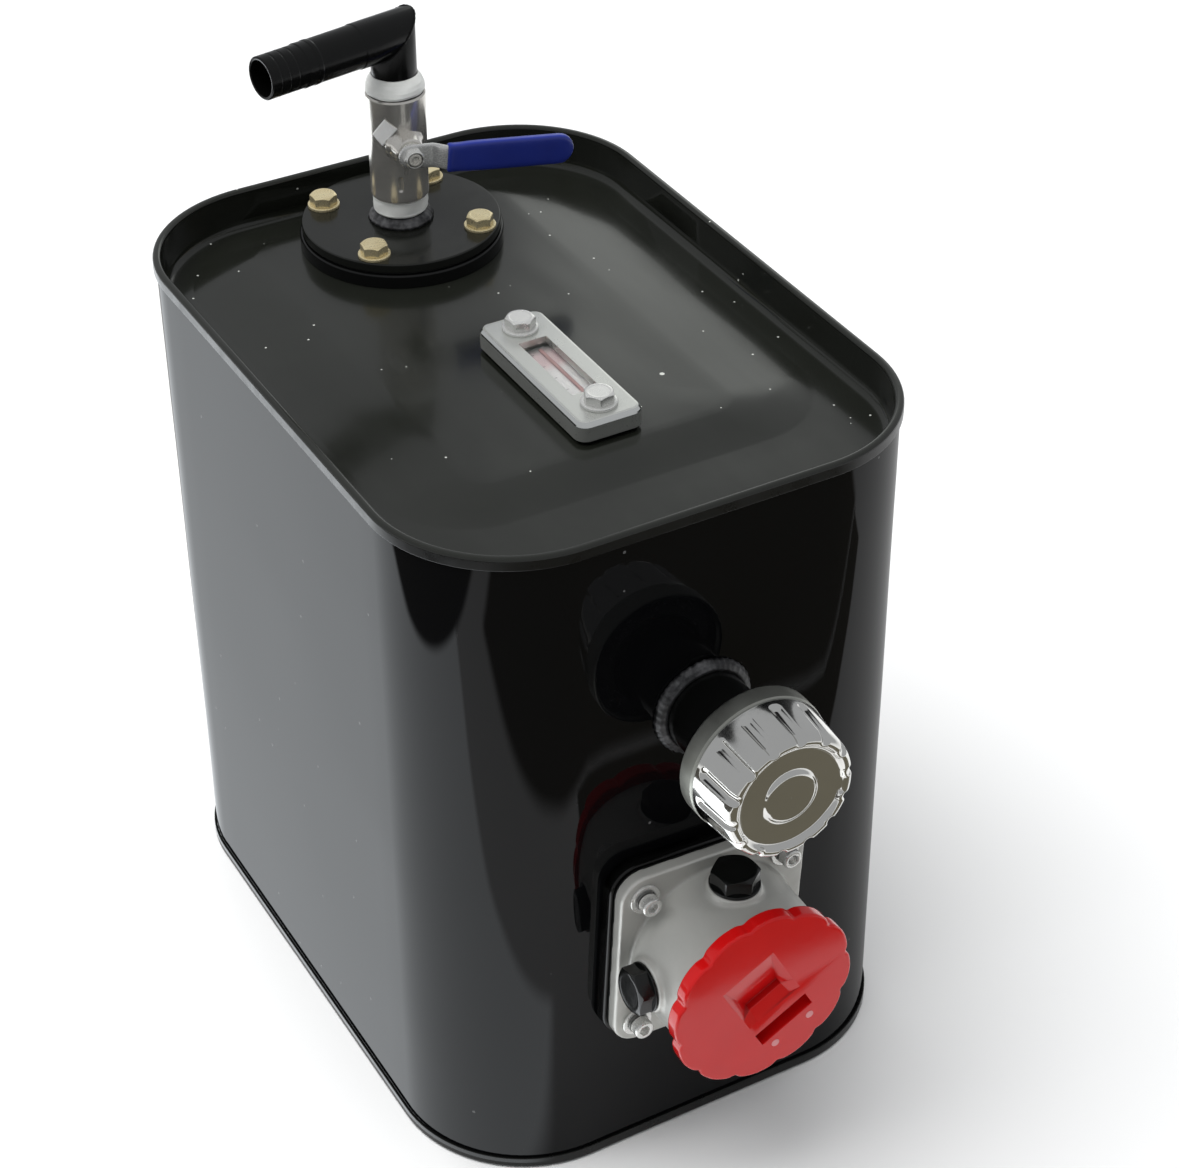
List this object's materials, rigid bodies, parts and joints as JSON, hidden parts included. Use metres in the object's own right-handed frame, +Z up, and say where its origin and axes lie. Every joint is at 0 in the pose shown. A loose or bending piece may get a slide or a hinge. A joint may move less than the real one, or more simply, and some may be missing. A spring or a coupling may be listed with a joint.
{
  "type": "hydraulic reservoir",
  "caption": "Welded sheet-steel hydraulic oil tank with a suction ball valve and hose tail, a level gauge, a filler breather and a tank-top return filter.",
  "frame": {"origin": "centre of the whole object's footprint, on the plane of the lower seam rim", "axes": "+Z up through the end panel that carries the suction valve and level gauge; -Y out of the wall that carries the filler breather and return filter; +X to the right seen from that wall. The tank stands on its end here; in service it usually lies with the -Y wall up."},
  "size_m": [0.277, 0.4646, 0.501],
  "materials": {
    "tank_paint": "gloss black paint with slight orange peel",
    "panel_paint": "semi-gloss black paint, dusty",
    "cover_paint": "satin black paint",
    "fitting_paint": "satin black paint",
    "tail_paint": "satin black paint, bright at worn edges",
    "weld_paint": "painted weld bead",
    "rubber": "matte black",
    "yellow_zinc": "yellow-passivated zinc plate",
    "bright_zinc": "bright zinc plate",
    "stainless": "turned stainless steel",
    "lever_steel": "rolled stainless strip",
    "steel_mesh": "woven mesh",
    "chrome": "bright chrome plate",
    "gauge_metal": "satin die casting with polished edges",
    "cast_aluminium": "satin casting",
    "ptfe": "wound thread-seal tape",
    "blue_vinyl": "dipped vinyl",
    "clear_lens": "clear acrylic",
    "scale_white": "printed scale",
    "red_spirit": "dyed spirit column",
    "red_plastic": "moulded nylon, semi-gloss",
    "black_plastic": "moulded nylon",
    "filter_media": "pleated fibre media"
  },
  "bodies": {
    "tank": {"tank_shell": "tank_paint", "shell_seam_weld": "weld_paint", "top_panel": "panel_paint", "bottom_panel": "panel_paint", "suction_spigot_ring": "fitting_paint", "suction_gasket": "rubber", "suction_cover": "cover_paint", "suction_cover_washers": "yellow_zinc", "suction_cover_bolts": "yellow_zinc", "suction_nipple": "fitting_paint", "nipple_weld": "weld_paint", "strainer_ends": "black_plastic", "strainer_screen": "steel_mesh", "lower_thread_seal": "ptfe", "valve_body": "stainless", "valve_insert": "stainless", "ball_seats": "ptfe", "stem_packing": "ptfe", "gland_nut": "stainless", "upper_thread_seal": "ptfe", "hose_tail": "tail_paint", "gauge_gasket": "rubber", "gauge_housing": "gauge_metal", "gauge_scale": "scale_white", "gauge_lens": "clear_lens", "gauge_thermometer": "red_spirit", "gauge_washers": "bright_zinc", "gauge_bolts": "bright_zinc", "gauge_nuts": "bright_zinc", "filler_neck": "fitting_paint", "neck_weld": "weld_paint", "filler_basket": "steel_mesh", "filter_weld_pad": "fitting_paint", "filter_gasket": "rubber", "filter_head": "cast_aluminium", "port_plug_top": "black_plastic", "port_plug_side": "black_plastic", "filter_washers": "bright_zinc", "filter_spring_washers": "bright_zinc", "filter_screws": "bright_zinc", "filter_bowl": "bright_zinc"},
    "lever_arm": {"valve_ball": "stainless", "valve_stem": "stainless", "lever": "lever_steel", "lever_grip": "blue_vinyl", "lever_nut": "bright_zinc"},
    "breather_lift": {"breather_gasket": "rubber"},
    "breather_top": {"breather_cap": "chrome", "breather_base_plate": "bright_zinc", "breather_element": "filter_media"},
    "element_lift": {"filter_element": "filter_media", "element_end_caps": "bright_zinc"},
    "red_cap": {"filter_cap": "red_plastic", "filter_cap_seal": "rubber"}
  },
  "joints": [
    {"name": "lever_turn", "type": "hinge", "parent": "tank", "child": "lever_arm", "pos_m": [0.0022, 0.16985, 0.4325], "axis": [-0.1599, -0.9871, 0], "range_deg": [0, 95.5]},
    {"name": "breather_lift_slide", "type": "slide", "parent": "tank", "child": "breather_lift", "axis": [0, -1, 0], "range_m": [0, 0.06]},
    {"name": "breather_turn", "type": "hinge", "parent": "breather_lift", "child": "breather_top", "pos_m": [-0.0035, -0.21075, 0.2752], "axis": [0, -1, 0], "range_deg": [0, 60]},
    {"name": "element_lift_slide", "type": "slide", "parent": "tank", "child": "element_lift", "axis": [0, -1, 0], "range_m": [0, 0.17]},
    {"name": "filter_cap_turn", "type": "hinge", "parent": "element_lift", "child": "red_cap", "pos_m": [-0.0053, -0.21275, 0.1389], "axis": [0, -1, 0], "range_deg": [0, 360]}
  ]
}
